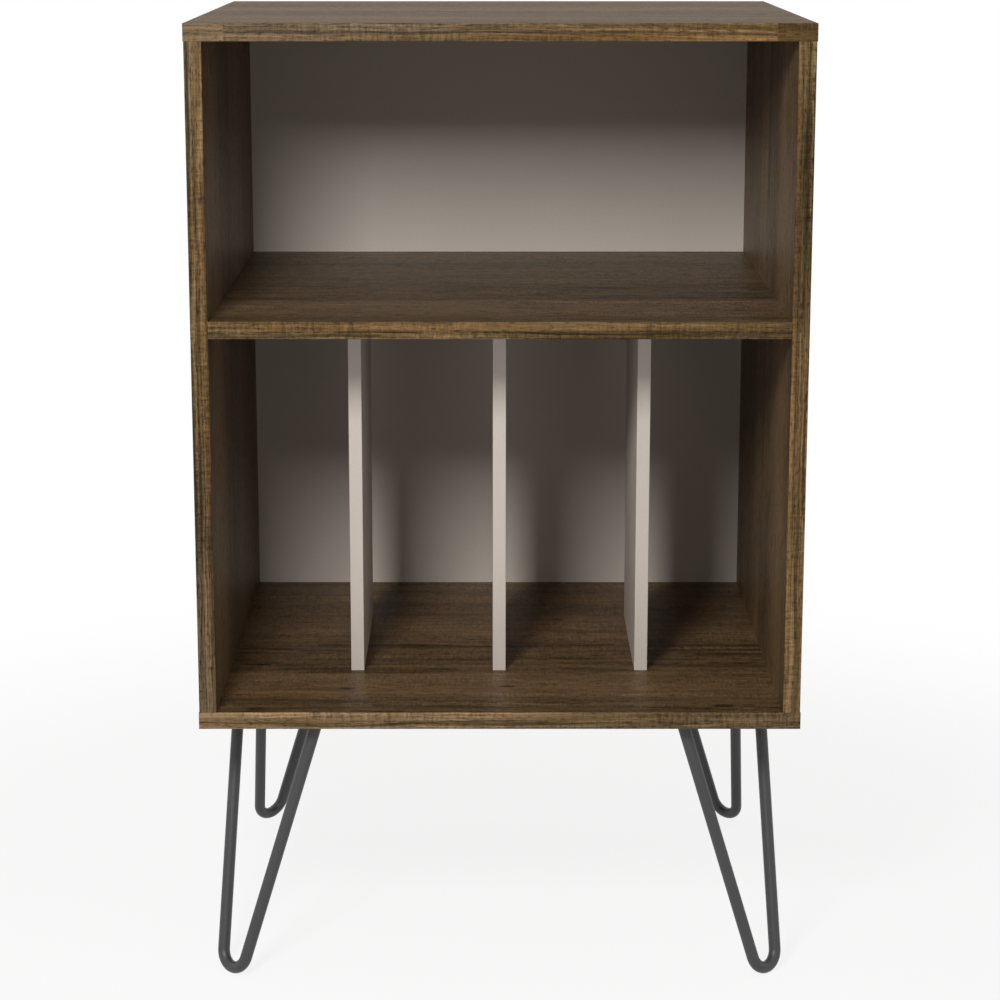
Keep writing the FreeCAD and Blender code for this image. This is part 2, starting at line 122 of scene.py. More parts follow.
class StandFaceLook(bpy.types.PropertyGroup):
    """Walnut print on the faces of the boards."""

    __annotations__ = grain(
        (0.205, 0.137, 0.076), (0.138, 0.089, 0.047), (0.062, 0.042, 0.021), (0.024, 0.020, 0.011),
        lane=0.008, run=0.24, streak=0.13, hair=0.0042, wave=0.040,
        fibre_run=0.04545, pore_run=0.012, pore_width=0.0018, rings=8.0,
        contrast=0.62, vein_cover=0.85, saw=0.72, fibre=1.0, pore=0.60, roughness=0.40)


class StandEdgingLook(bpy.types.PropertyGroup):
    """Walnut print on the level edge strips, more streaked than the faces."""

    __annotations__ = grain(
        (0.208, 0.132, 0.068), (0.124, 0.073, 0.032), (0.061, 0.0375, 0.013), (0.0285, 0.0165, 0.006),
        lane=0.0034, run=0.15, streak=0.14, hair=0.0013, wave=0.022,
        fibre_run=0.04545, pore_run=0.0067, pore_width=0.0013, rings=6.0,
        contrast=1.0, vein_cover=0.85, saw=1.0, fibre=0.95, pore=0.60, roughness=0.48)


class StandUprightLook(bpy.types.PropertyGroup):
    """Walnut print on the upright edge strips, with long straight lanes."""

    __annotations__ = grain(
        (0.208, 0.132, 0.068), (0.118, 0.070, 0.031), (0.055, 0.0345, 0.012), (0.0265, 0.0155, 0.0056),
        lane=0.0032, run=0.26, streak=0.20, hair=0.0013, wave=0.008,
        fibre_run=0.04545, pore_run=0.0067, pore_width=0.0013, rings=5.0,
        contrast=1.0, vein_cover=0.88, saw=1.0, fibre=0.95, pore=0.65, roughness=0.48)


class StandPlainLook(bpy.types.PropertyGroup):
    """Plain finishes: laminate, hardboard, powder coat, zinc and beech."""

    taupe: colour("Taupe", "Laminate of the dividers and the back panel", (0.580, 0.515, 0.456))
    hardboard: colour("Hardboard", "Bare rear face of the back panel", (0.235, 0.132, 0.066))
    chipboard: colour("Chipboard", "Bare rear edges of the boards", (0.470, 0.340, 0.205))
    charcoal: colour("Charcoal", "Powder coat of the legs", (0.043, 0.043, 0.044))
    zinc: colour("Zinc", "Plated screws, nails and cams", (0.560, 0.560, 0.545))
    beech: colour("Beech", "Dowels", (0.600, 0.420, 0.250))
    laminate_roughness: share("Laminate roughness", "Roughness of the taupe laminate", 0.50)
    powder_roughness: share("Powder roughness", "Roughness of the powder coat", 0.44)
    steel_roughness: share("Steel roughness", "Roughness of the screws and nails", 0.30)
    zinc_roughness: share("Zinc roughness", "Roughness of the cams and their bolts", 0.44)
    beech_roughness: share("Beech roughness", "Roughness of the dowels", 0.60)


class StandStudio(bpy.types.PropertyGroup):
    """Camera, lamp and floor."""

    eye: place("Camera", "Place of the camera", (-0.0085, -2.4505, 0.9534))
    tilt: FloatProperty(
        name="Tilt", description="How far the camera looks down", subtype="ANGLE",
        default=math.radians(12.30))
    lens: FloatProperty(
        name="Lens", description="Focal length on a 36 mm sensor", unit="CAMERA", default=95.51)
    shift: FloatVectorProperty(
        name="Shift", description="Lens shift across and up", size=2, default=(0.010, -0.030))
    key: place("Key lamp", "Place of the softbox in front of the stand", (-0.394, -1.448, 1.287))
    key_aim: place("Key aim", "Point that the softbox faces", (0.0, 0.0, 0.50))
    key_size: length("Key size", "Side of the square softbox", 0.35)
    key_power: FloatProperty(
        name="Key power", description="Power of the softbox", unit="POWER", default=18.4)
    ambient: FloatProperty(name="Ambient", description="Even light from all round", min=0.0, default=0.44)
    daylight: colour("Daylight", "Colour of the even light", (1.0, 0.985, 0.965))
    floor_paint: colour("Floor paint", "Colour of the floor in the light that it gives back", (0.86,) * 3)
    floor_span: length("Floor span", "Side of the square floor", 60.0)
    shadow_reach: length("Shadow reach", "Radius in which the floor keeps the shadow", 1.2)
    shadow_core: length("Shadow core", "Radius in which it keeps all of that shadow", 0.48)
    shadow_depth: share("Shadow depth", "How much of the floor's own shading shows", 0.15)


class StandLooks(bpy.types.PropertyGroup):
    """All settings of the stand's looks."""

    face: PointerProperty(type=StandFaceLook)
    edging: PointerProperty(type=StandEdgingLook)
    upright: PointerProperty(type=StandUprightLook)
    plain: PointerProperty(type=StandPlainLook)
    studio: PointerProperty(type=StandStudio)


class Wire:
    """A shader socket in Python arithmetic: each operator adds one Math node."""

    def __init__(self, sheet, socket):
        self.sheet = sheet
        self.socket = socket

    def math(self, operation, *others):
        """Math node with this wire as its first term."""
        return self.sheet.node("ShaderNodeMath", {"operation": operation}, [self, *others])

    def math_after(self, operation, other):
        """Math node with this wire as its second term."""
        return self.sheet.node("ShaderNodeMath", {"operation": operation}, [other, self])

    def __add__(self, other):
        return self.math("ADD", other)

    def __radd__(self, other):
        return self.math_after("ADD", other)

    def __sub__(self, other):
        return self.math("SUBTRACT", other)

    def __rsub__(self, other):
        return self.math_after("SUBTRACT", other)

    def __mul__(self, other):
        return self.math("MULTIPLY", other)

    def __rmul__(self, other):
        return self.math_after("MULTIPLY", other)

    def __truediv__(self, other):
        return self.math("DIVIDE", other)

    def __pow__(self, other):
        return self.math("POWER", other)

    def __rpow__(self, other):
        return self.math_after("POWER", other)

    def __abs__(self):
        return self.math("ABSOLUTE")

    def __gt__(self, other):
        return self.math("GREATER_THAN", other)


# Sockets of a Mix node in its colour mode: factor, two colours and the result.
MIX_FACTOR, MIX_FIRST, MIX_SECOND, MIX_RESULT = 0, 6, 7, 2
# Mean of a noise pattern.
MEAN = 0.5


class Sheet:
    """A node tree, with one method that adds any node to it."""

    def __init__(self, tree):
        self.tree = tree
        tree.nodes.clear()

    def node(self, kind, settings=None, inputs=(), output=0):
        made = self.tree.nodes.new(kind)
        for key, value in (settings or {}).items():
            if key == "stops":
                self.set_stops(made.color_ramp, value)
            else:
                setattr(made, key, value)
        for key, value in inputs.items() if isinstance(inputs, dict) else enumerate(inputs):
            if isinstance(value, Wire):
                self.tree.links.new(value.socket, made.inputs[key])
            else:
                made.inputs[key].default_value = value
        return Wire(self, made.outputs[output]) if made.outputs else None

    @staticmethod
    def set_stops(ramp, stops):
        while len(ramp.elements) < len(stops):
            ramp.elements.new(1.0)
        for element, (position, shade) in zip(ramp.elements, stops):
            element.position = position
            element.color = (*shade, 1.0)

    def spot(self):
        """Object coordinates as one vector."""
        return self.node("ShaderNodeTexCoord", output="Object")

    def axes(self):
        """Object coordinates as three wires."""
        split = self.node("ShaderNodeSeparateXYZ", inputs=[self.spot()])
        outputs = split.socket.node.outputs
        return {axis: Wire(self, outputs[axis]) for axis in "XYZ"}

    def vector(self, x, y, z):
        return self.node("ShaderNodeCombineXYZ", inputs=[x, y, z])

    def noise(self, spot, waves, detail, roughness):
        """Noise between 0 and 1 about its mean, with so many waves in a metre along each axis."""
        scaled = self.node("ShaderNodeVectorMath", {"operation": "MULTIPLY"}, [spot, waves])
        return self.node("ShaderNodeTexNoise", {"noise_dimensions": "3D"}, {
            "Vector": scaled, "Scale": 1.0, "Detail": detail, "Roughness": roughness})

    def step(self, value, start, end):
        """Smooth step from 0 at start to 1 at end."""
        return self.node("ShaderNodeMapRange", {"interpolation_type": "SMOOTHSTEP"}, {
            "Value": value, "From Min": start, "From Max": end, "To Min": 0.0, "To Max": 1.0})

    def mix(self, factor, first, second, blend="MIX"):
        """Mix of two colours."""
        pair = [shade if isinstance(shade, Wire) else (*shade, 1.0) for shade in (first, second)]
        settings = {"data_type": "RGBA", "blend_type": blend, "clamp_factor": True}
        inputs = {MIX_FACTOR: factor, MIX_FIRST: pair[0], MIX_SECOND: pair[1]}
        return self.node("ShaderNodeMix", settings, inputs, MIX_RESULT)

    def times(self, tint, shade):
        """A colour made lighter or darker, or tinted."""
        return self.mix(1.0, tint, shade, "MULTIPLY")

    def ramp(self, factor, stops):
        return self.node("ShaderNodeValToRGB", {"stops": stops}, [factor])

    def levels(self, way, stops, scale=1.0):
        """Grey ramp over a share of the way."""
        return self.ramp(way, [(at, (level * scale,) * 3) for at, level in stops])

    def bump(self, height, strength, distance):
        return self.node("ShaderNodeBump", inputs={
            "Strength": strength, "Distance": distance, "Height": height})


# Patterns of the plain finishes: waves in a metre along X, Y and Z, then detail and roughness.
PATTERNS = {
    "mottle": ((9.0, 9.0, 6.0), 3.0, 0.5),
    "specks": ((420.0, 420.0, 420.0), 2.0, 0.5),
    "pebble": ((1500.0, 1500.0, 1500.0), 1.0, 0.5),
    "cloud": ((5.0, 5.0, 7.0), 4.0, 0.6),
    "felt": ((260.0, 260.0, 420.0), 4.0, 0.7),
    "shreds": ((95.0, 95.0, 900.0), 3.0, 0.6),
    "chips": ((380.0, 380.0, 380.0), 3.0, 0.7),
    "peel": ((900.0, 900.0, 900.0), 2.0, 0.6),
    "flow": ((240.0, 240.0, 240.0), 2.0, 0.5),
    "haze": ((14.0, 14.0, 9.0), 3.0, 0.5),
    "bloom": ((160.0, 160.0, 160.0), 3.0, 0.5),
    "grit": ((2200.0, 2200.0, 2200.0), 2.0, 0.5),
    "flecks": ((300.0, 1900.0, 900.0), 3.0, 0.6),
}


class Finish(Sheet):
    """A material that ends in one Principled shader."""

    def __init__(self, name):
        self.material = bpy.data.materials.new(name)
        self.material.use_nodes = True
        super().__init__(self.material.node_tree)

    def pattern(self, name):
        """One of the plain finishes' patterns, as far as it lies above or below its mean."""
        return self.noise(self.spot(), *PATTERNS[name]) - MEAN

    def end(self, **sockets):
        named = {key.replace("_", " "): value for key, value in sockets.items()}
        shader = self.node("ShaderNodeBsdfPrincipled", inputs=named)
        self.node("ShaderNodeOutputMaterial", inputs={"Surface": shader})
        return self.material


def dress(names, material):
    """Gives the named nodes one finish."""
    for name in names:
        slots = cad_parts[name].material_slots
        if not slots:
            raise RuntimeError(f"{name} has no material slot")
        for held in slots:
            held.material = material


# The printed planks of a board meet at these depths; a seam below 0 is paler than the print.
FACE_JOINTS = ((-0.108, -0.20), (-0.003, 0.32))
SEAM_EDGE = 0.0020
SEAM_CORE = 0.0008
# The next plank of a print is slid along it, and taken from another layer of the pattern.
PLANK_SLIP = 0.37
PLANK_STEP = 3.3
FACE_SPREAD = 60.0
# Blocks at both ends of the top strip: where they start, and their calmer, even print.
TOP_STRIP_JOINT = 0.2295
BLOCK_STEP = 5.7
BLOCK_CALM = 0.75
BLOCK_TINT_WAY = 0.30
# Tint and streakiness of the faces, by share of the way across the piece, from low to high.
FACE_TINTS = (
    (0.0, (0.66, 0.66, 0.64)), (0.06, (0.75, 0.75, 0.73)), (0.13, (1.0, 1.0, 1.0)),
    (0.22, (1.10, 1.10, 1.10)), (0.259, (1.06, 1.06, 1.06)), (0.264, (0.88, 0.88, 0.88)),
    (0.43, (0.82, 0.82, 0.81)), (0.490, (0.76, 0.76, 0.75)), (0.498, (1.02, 1.02, 1.02)),
    (0.60, (1.06, 1.06, 1.06)), (1.0, (0.97, 0.97, 0.97)))
FACE_STREAKS = (
    (0.0, 1.0), (0.07, 0.85), (0.11, 0.40), (0.24, 0.34), (0.28, 0.85), (0.40, 1.0), (0.490, 1.0),
    (0.50, 0.45), (0.75, 0.45), (1.0, 0.55))
BOARD_STREAKS = {
    "top_board": 0.42, "fixed_shelf": 0.85, "bottom_board": 1.0, "left_side": 0.7, "right_side": 0.7}
BOARD_SAW = {
    "top_board": 1.0, "fixed_shelf": 1.45, "bottom_board": 1.3, "left_side": 1.0, "right_side": 1.0}
BOARD_TINTS = {
    "top_board": (1.0, 1.0, 1.0),
    "fixed_shelf": (1.0, 0.98, 0.95),
    "bottom_board": (0.98, 0.90, 0.78),
    "left_side": (1.06, 1.04, 1.03),
    "right_side": (1.06, 1.03, 1.0),
}
# Knots of the boards: place along the grain, place across it, radius.
BOARD_KNOTS = {
    "top_board": ((0.118, -0.082, 0.0022),),
    "fixed_shelf": ((0.013, -0.150, 0.0024),),
    "bottom_board": (
        (-0.137, -0.154, 0.0032), (0.0065, -0.148, 0.0028), (0.058, 0.078, 0.0020),
        (0.198, -0.206, 0.0042), (-0.220, -0.078, 0.0030), (-0.216, -0.216, 0.0028)),
    "left_side": ((0.412, -0.120, 0.0028),),
    "right_side": ((0.690, 0.102, 0.0026),),
}
PALE_BAND = (1.22, 1.17, 1.10)
EVEN_BAND = (1.0, 1.0, 1.0)
OLIVE_BAND = (0.80, 0.82, 0.78)
# Tint and streakiness of the strips, by share of the way across them.
STRIP_TINTS = {
    "top_front_strip": (
        (0.0, (1.20, 1.18, 1.18)), (0.28, (1.20, 1.18, 1.18)), (0.36, (0.87, 0.91, 0.95)),
        (1.0, (0.79, 0.83, 0.84))),
    "shelf_strip": (
        (0.0, (0.80, 0.80, 0.76)), (0.42, (0.76, 0.77, 0.74)), (0.52, PALE_BAND), (1.0, EVEN_BAND)),
    "bottom_front_strip": (
        (0.0, (1.08, 1.12, 1.18)), (0.52, (1.15, 1.19, 1.25)), (0.60, (1.30, 1.33, 1.40)),
        (1.0, (1.30, 1.33, 1.40))),
    "left_side_strip": (
        (0.0, OLIVE_BAND), (0.42, OLIVE_BAND), (0.50, PALE_BAND), (1.0, (1.10, 1.06, 1.0))),
    "right_side_strip": (
        (0.0, PALE_BAND), (0.20, PALE_BAND), (0.27, (0.90, 0.91, 0.88)), (1.0, (0.95, 0.96, 0.92))),
}
STRIP_STREAKS = {
    "top_front_strip": ((0.0, 0.35), (0.28, 0.40), (0.40, 1.0), (1.0, 0.9)),
    "shelf_strip": ((0.0, 0.7), (0.30, 0.8), (0.42, 1.0), (0.55, 0.45), (1.0, 0.45)),
    "bottom_front_strip": ((0.0, 0.8), (0.40, 1.0), (0.58, 0.45), (1.0, 0.40)),
    "left_side_strip": ((0.0, 1.0), (0.42, 1.0), (0.52, 0.7), (1.0, 0.8)),
    "right_side_strip": ((0.0, 0.25), (0.20, 0.30), (0.30, 1.0), (1.0, 1.0)),
}
# Tone of the strips from their low end to their high end, by share of the length.
STRIP_TONES = {
    "top_front_strip": (
        (0.0, 1.06), (0.062, 1.05), (0.067, 0.92), (0.50, 0.90), (0.68, 0.88), (0.84, 1.46),
        (0.933, 1.46), (0.938, 0.60), (1.0, 0.60)),
    "shelf_strip": (
        (0.0, 0.78), (0.10, 0.79), (0.30, 1.0), (0.50, 0.90), (0.70, 0.72), (0.90, 0.81), (1.0, 0.80)),
    "bottom_front_strip": (
        (0.0, 1.20), (0.12, 1.19), (0.30, 1.12), (0.50, 1.30), (0.70, 1.19), (0.88, 0.92), (1.0, 0.85)),
    "left_side_strip": (
        (0.0, 1.01), (0.18, 0.90), (0.27, 0.62), (0.43, 0.87), (0.60, 1.0), (0.76, 0.90),
        (0.93, 1.17), (1.0, 1.22)),
    "right_side_strip": (
        (0.0, 1.67), (0.26, 1.42), (0.43, 1.80), (0.60, 0.84), (0.76, 0.60), (0.82, 0.64), (1.0, 1.10)),
}
# Hue of the strips from their low end to their high end: parts of them are greyer, others warmer; on the
# top strip the greyer left end is painted sheen.
STRIP_HUES_AND_SHEEN = {
    # Painted sheen: the greyer, bluer left end of the top strip stands in for the lamp's reflection from
    # the left.
    "top_front_strip": (
        (0.0, (0.90, 1.0, 1.19)), (0.062, (0.90, 1.0, 1.19)), (0.067, (0.95, 1.0, 1.19)),
        (0.31, (0.95, 1.0, 1.13)), (0.50, (1.02, 1.0, 0.95)), (0.69, (1.06, 1.0, 0.86)),
        (0.933, (1.06, 1.0, 0.96)), (0.938, (0.98, 1.0, 0.77)), (1.0, (0.98, 1.0, 0.77))),
    "shelf_strip": ((0.0, (0.99, 1.0, 0.90)), (0.70, (1.0, 1.0, 0.92)), (1.0, (0.96, 1.0, 0.96))),
    "bottom_front_strip": ((0.0, (0.98, 1.0, 1.06)), (0.50, (0.97, 1.0, 1.08)), (1.0, (0.95, 1.0, 1.10))),
    "left_side_strip": (
        (0.0, (0.91, 1.0, 1.20)), (0.10, (0.91, 1.0, 1.20)), (0.26, (0.92, 1.0, 1.13)),
        (0.43, (1.0, 1.0, 0.94)), (0.76, (0.98, 1.0, 0.97)), (1.0, (0.95, 1.0, 1.10))),
    "right_side_strip": (
        (0.0, (0.98, 1.0, 1.13)), (0.26, (0.98, 1.0, 1.10)), (0.43, (1.01, 1.0, 1.06)),
        (0.76, (0.97, 1.0, 0.92)), (1.0, (0.97, 1.0, 0.97))),
}
# Long dark lines on the strips: share of the way across, half width in the same measure, darkness.
STRIP_LINES = {
    "top_front_strip": ((0.46, 0.09, 0.75), (0.74, 0.05, 0.6)),
    "shelf_strip": ((0.40, 0.08, 0.85), (0.14, 0.06, 0.6)),
    "bottom_front_strip": ((0.36, 0.08, 0.7), (0.06, 0.06, 0.6)),
    "left_side_strip": ((0.12, 0.13, 0.75), (0.42, 0.06, 0.7), (0.64, 0.035, 0.65), (0.80, 0.035, 0.6)),
    "right_side_strip": ((0.50, 0.20, 0.85), (0.98, 0.07, 0.8), (0.27, 0.035, 0.6), (0.78, 0.04, 0.5)),
}
# How much of those lines shows, from the low end to the high end.
LINE_REACH = {
    "top_front_strip": ((0.0, 0.1), (0.06, 0.1), (0.08, 0.9), (0.85, 1.0), (1.0, 0.6)),
    "shelf_strip": ((0.0, 0.7), (0.15, 1.0), (1.0, 1.0)),
    "bottom_front_strip": ((0.0, 0.1), (0.30, 0.2), (0.45, 0.9), (1.0, 1.0)),
    "left_side_strip": ((0.0, 0.7), (0.20, 0.8), (0.30, 1.0), (1.0, 0.9)),
    "right_side_strip": ((0.0, 0.25), (0.45, 0.3), (0.56, 1.0), (0.85, 1.0), (1.0, 0.5)),
}


def share_of(place_on, ends):
    """Share of the way from one end to the other."""
    return (place_on - ends[0]) / (ends[1] - ends[0])


class Layout:
    """How a walnut print lies on a piece: joints, knots, lines, and its tints from edge to edge."""

    def __init__(self, order, box, **print_settings):
        self.order = order
        sides = ["XYZ".index(axis) for axis in order[:2]]
        self.length = [corner[sides[0]] for corner in box]
        self.width = [corner[sides[1]] for corner in box]
        self.joints = ()
        self.ends = None
        self.knots = ()
        self.lines = ()
        self.tints = ((0.0, EVEN_BAND), (1.0, EVEN_BAND))
        self.reach = ()
        self.tones = ()
        self.hues_and_sheen = ()
        self.streaks = ((0.0, 0.8), (1.0, 0.8))
        self.streak_share = 1.0
        self.saw_share = 1.0
        for key, value in print_settings.items():
            setattr(self, key, value)

    def spread(self, along, across, out):
        """Point of the print under a point of the piece: each plank takes another stretch of it."""
        start = along
        layer = out * FACE_SPREAD
        for depth, _ in self.joints:
            next_plank = across > depth
            start = start + next_plank * PLANK_SLIP
            layer = layer + next_plank * PLANK_STEP
        if self.ends is not None:
            layer = layer + (abs(along) > self.ends) * BLOCK_STEP
        return start, layer


class WalnutPrint:
    """Walnut print on one piece, drawn in its finish from the lanes of grain up to the saw marks."""

    # Marks on the flat of the face: waves in a metre along the grain, across it and from layer to
    # layer, then detail and roughness.
    flat_marks = {
        "wave": ((2.1, 7.0, 1.0), 1.0, 0.5),
        "ripple": ((11.0, 38.0, 1.0), 2.0, 0.5),
        "breaks": ((14.0, 90.0, 2.0), 3.0, 0.5),
        "sawn": ((5.0, 48.0, 2.0), 2.0, 0.5),
        "saw": ((470.0, 95.0, 1.0), 3.0, 0.65),
        "cuts": ((60.0, 1.5, 1.0), 1.0, 0.5),
        "cut_patches": ((30.0, 75.0, 3.0), 1.0, 0.5),
    }
    # Marks that follow the lanes: a length of the look along them and one across, each with the waves
    # in it, then waves from layer to layer, detail and roughness.
    lane_marks = {
        "figure": (("run", 0.45), ("lane", 0.20), 1.0, 1.0, 0.5),
        "bands": (("run", 0.35), ("lane", 0.22), 1.0, 2.0, 0.5),
        "lanes": (("run", 1.0), ("lane", 1.0), 1.0, 6.0, 0.66),
        "fibres": (("fibre_run", 1.0), ("hair", 1.0), 1.0, 5.0, 0.7),
        "pores": (("pore_run", 1.0), ("pore_width", 1.0), 3.0, 2.0, 0.6),
        "hairs": (("streak", 1.3), ("hair", 0.5), 2.0, 3.0, 0.6),
        "flames": (("streak", 1.0), ("lane", 0.8), 2.0, 4.0, 0.6),
    }
    # Levels of a pattern between which its mark comes up; a cut lies where its pattern is at its mean.
    levels_of = {
        "pores": (0.54, 0.66),
        "hairs": (0.53, 0.62),
        "flames": (0.57, 0.65),
        "breaks": (0.38, 0.56),
        "sawn": (0.36, 0.64),
        "cut_patches": (0.50, 0.62),
    }
    cut_edge, cut_core = 0.020, 0.004
    # Where the dark, middle and pale grain lie on the scale of tones.
    tone_stops = (0.10, 0.50, 0.90)
    # How strongly each mark changes the tone, the cover of the veins, the height and the roughness.
    band_tone, lane_tone, ring_tone = 1.3, 3.0, 0.2
    fibre_tone, saw_tone, cut_tone, pore_tone = 2.0, 2.1, 0.2, 0.8
    hair_cover, knot_cover = 0.7, 0.92
    fibre_rise, saw_rise, cut_sink, pore_sink = 0.5, 0.3, 0.3, 0.6
    fibre_dull, pore_dull = 0.25, 0.10
    # Share of the face that pores take up, and the least and the most of the saw marks that shows.
    pore_share = 0.25
    sawn_least, sawn_most = 0.35, 1.15
    # How far the lanes ripple, in metres, and how far pores fray the edges of the veins.
    ripple_sway = 0.006
    vein_fray = 0.30
    # Knots: how much they are drawn out along the grain, how far they push the lanes aside and how
    # hard, then their edge and their core, all in radii.
    knot_squeeze, knot_spread, knot_push = 0.42, 5.0, 0.6
    knot_edge, knot_core = 1.4, 0.5
    # Long lines: how far they follow the waves, the ripples and the frayed edges, and their dark core.
    line_wave, line_ripple, line_fray, break_fray = 0.5, 0.35, 0.6, 1.5
    line_core = 0.25

    def __init__(self, sheet, look, layout):
        self.sheet = sheet
        self.look = look
        self.layout = layout
        axes = sheet.axes()
        self.along, self.across, out = (axes[axis] for axis in layout.order)
        self.way_along = share_of(self.along, layout.length)
        self.way_across = share_of(self.across, layout.width)
        self.way_of_tint = self.way_across
        self.strength = sheet.levels(self.way_across, layout.streaks, layout.streak_share)
        if layout.ends is not None:
            block = abs(self.along) > layout.ends
            self.strength = self.strength * (1.0 - block * BLOCK_CALM)
            self.way_of_tint = self.way_across + (BLOCK_TINT_WAY - self.way_across) * block
        start, layer = layout.spread(self.along, self.across, out)
        self.flat = sheet.vector(start, self.across, layer)
        self.wave = self.flat_mark("wave") - MEAN
        self.ripple = self.flat_mark("ripple") - MEAN
        self.hearts = []
        self.spot = sheet.vector(start, self.bend_lanes(), layer)
        self.fibres = self.lane_mark("fibres") - MEAN
        dashes = self.lane_mark("pores")
        self.pores = self.shown("pores", dashes)
        self.fray = (dashes - MEAN) * (self.vein_fray * look.pore)

    def flat_mark(self, name):
        """Pattern of a mark on the flat of the face."""
        return self.sheet.noise(self.flat, *self.flat_marks[name])

    def lane_mark(self, name):
        """Pattern of a mark that follows the lanes."""
        (run, in_run), (width, in_width), layers, detail, roughness = self.lane_marks[name]
        waves = (in_run / getattr(self.look, run), in_width / getattr(self.look, width), layers)
        return self.sheet.noise(self.spot, waves, detail, roughness)

    def shown(self, name, pattern):
        """1 where a mark shows in its pattern."""
        return self.sheet.step(pattern, *self.levels_of[name])

    def bend_lanes(self):
        """Place across the print, with the lanes pushed aside round each knot."""
        lane = self.across + self.wave * self.look.wave + self.ripple * self.ripple_sway
        for knot_along, knot_across, radius in self.layout.knots:
            aside = self.across - knot_across
            reach = ((self.along - knot_along) * self.knot_squeeze) ** 2.0 + aside ** 2.0
            bulge = math.e ** (reach * (-1.0 / (self.knot_spread * radius) ** 2))
            lane = lane - aside * bulge * self.knot_push
            self.hearts.append(
                self.sheet.step(reach, (self.knot_edge * radius) ** 2, (self.knot_core * radius) ** 2))
        return lane

    def lanes(self):
        """Colour of the print before its veins."""
        look = self.look
        rings = MEAN - (self.lane_mark("figure") * look.rings).math("PINGPONG", 1.0)
        bands = self.lane_mark("bands") - MEAN
        lanes = self.lane_mark("lanes") - MEAN
        streaks = (lanes * self.lane_tone + rings * self.ring_tone) * self.strength
        tone = self.tone_stops[1] + look.contrast * (bands * self.band_tone + streaks)
        return self.sheet.ramp(tone, list(zip(self.tone_stops, (look.dark, look.middle, look.pale))))

    def veins(self):
        """How far dark hairs, flames, knots and long lines cover the print."""
        hairs = self.shown("hairs", self.fray + self.lane_mark("hairs")) * self.hair_cover
        flames = self.shown("flames", self.fray + self.lane_mark("flames"))
        cover = hairs.math("MAXIMUM", flames) * self.look.vein_cover * self.strength
        for heart in self.hearts:
            cover = cover.math("MAXIMUM", heart * self.knot_cover)
        for line in self.long_lines():
            cover = cover.math("MAXIMUM", line)
        return cover

    def long_lines(self):
        """Long dark lines of a strip, broken here and there."""
        if not self.layout.lines:
            return []
        path = self.way_across + self.ripple * self.line_ripple
        path = path + self.wave * self.line_wave + self.fray * self.line_fray
        unbroken = self.shown("breaks", self.fray * self.break_fray + self.flat_mark("breaks"))
        unbroken = unbroken * self.sheet.levels(self.way_along, self.layout.reach)
        return [
            self.sheet.step(abs(path - middle), half, self.line_core * half) * unbroken * darkness
            for middle, half, darkness in self.layout.lines]

    def draw(self):
        """Colour, roughness and height of the print."""
        sheet, look = self.sheet, self.look
        saw = self.flat_mark("saw") - MEAN
        sawn = self.shown("sawn", self.flat_mark("sawn")) * (self.sawn_most - self.sawn_least)
        cuts = sheet.step(abs(self.flat_mark("cuts") - MEAN), self.cut_edge, self.cut_core)
        cuts = cuts * self.shown("cut_patches", self.flat_mark("cut_patches"))
        shade = 1.0 + self.fibres * (self.fibre_tone * look.fibre) - cuts * self.cut_tone
        saw_tone = self.saw_tone * look.saw * self.layout.saw_share
        shade = shade + saw * (self.sawn_least + sawn) * saw_tone
        shade = shade * (1.0 - (self.pores - self.pore_share) * (self.pore_tone * look.pore))
        height = self.fibres * self.fibre_rise + saw * self.saw_rise
        height = height - self.pores * self.pore_sink - cuts * self.cut_sink
        for depth, darkness in self.layout.joints:
            seam = sheet.step(abs(self.across - depth), SEAM_EDGE, SEAM_CORE)
            shade = shade - seam * darkness
            height = height - seam
        tinted = sheet.times(sheet.mix(self.veins(), self.lanes(), look.vein), shade)
        tinted = sheet.times(tinted, sheet.ramp(self.way_of_tint, self.layout.tints))
        if self.layout.tones:
            tinted = sheet.times(tinted, sheet.levels(self.way_along, self.layout.tones))
        # Hue along the piece: the print's own hue, with painted sheen on the top strip's greyer left end.
        if self.layout.hues_and_sheen:
            tinted = sheet.times(tinted, sheet.ramp(self.way_along, self.layout.hues_and_sheen))
        roughness = look.roughness + self.fibres * self.fibre_dull + self.pores * self.pore_dull
        return tinted, roughness, height


PRINT_BUMP = (0.25, 0.0004)


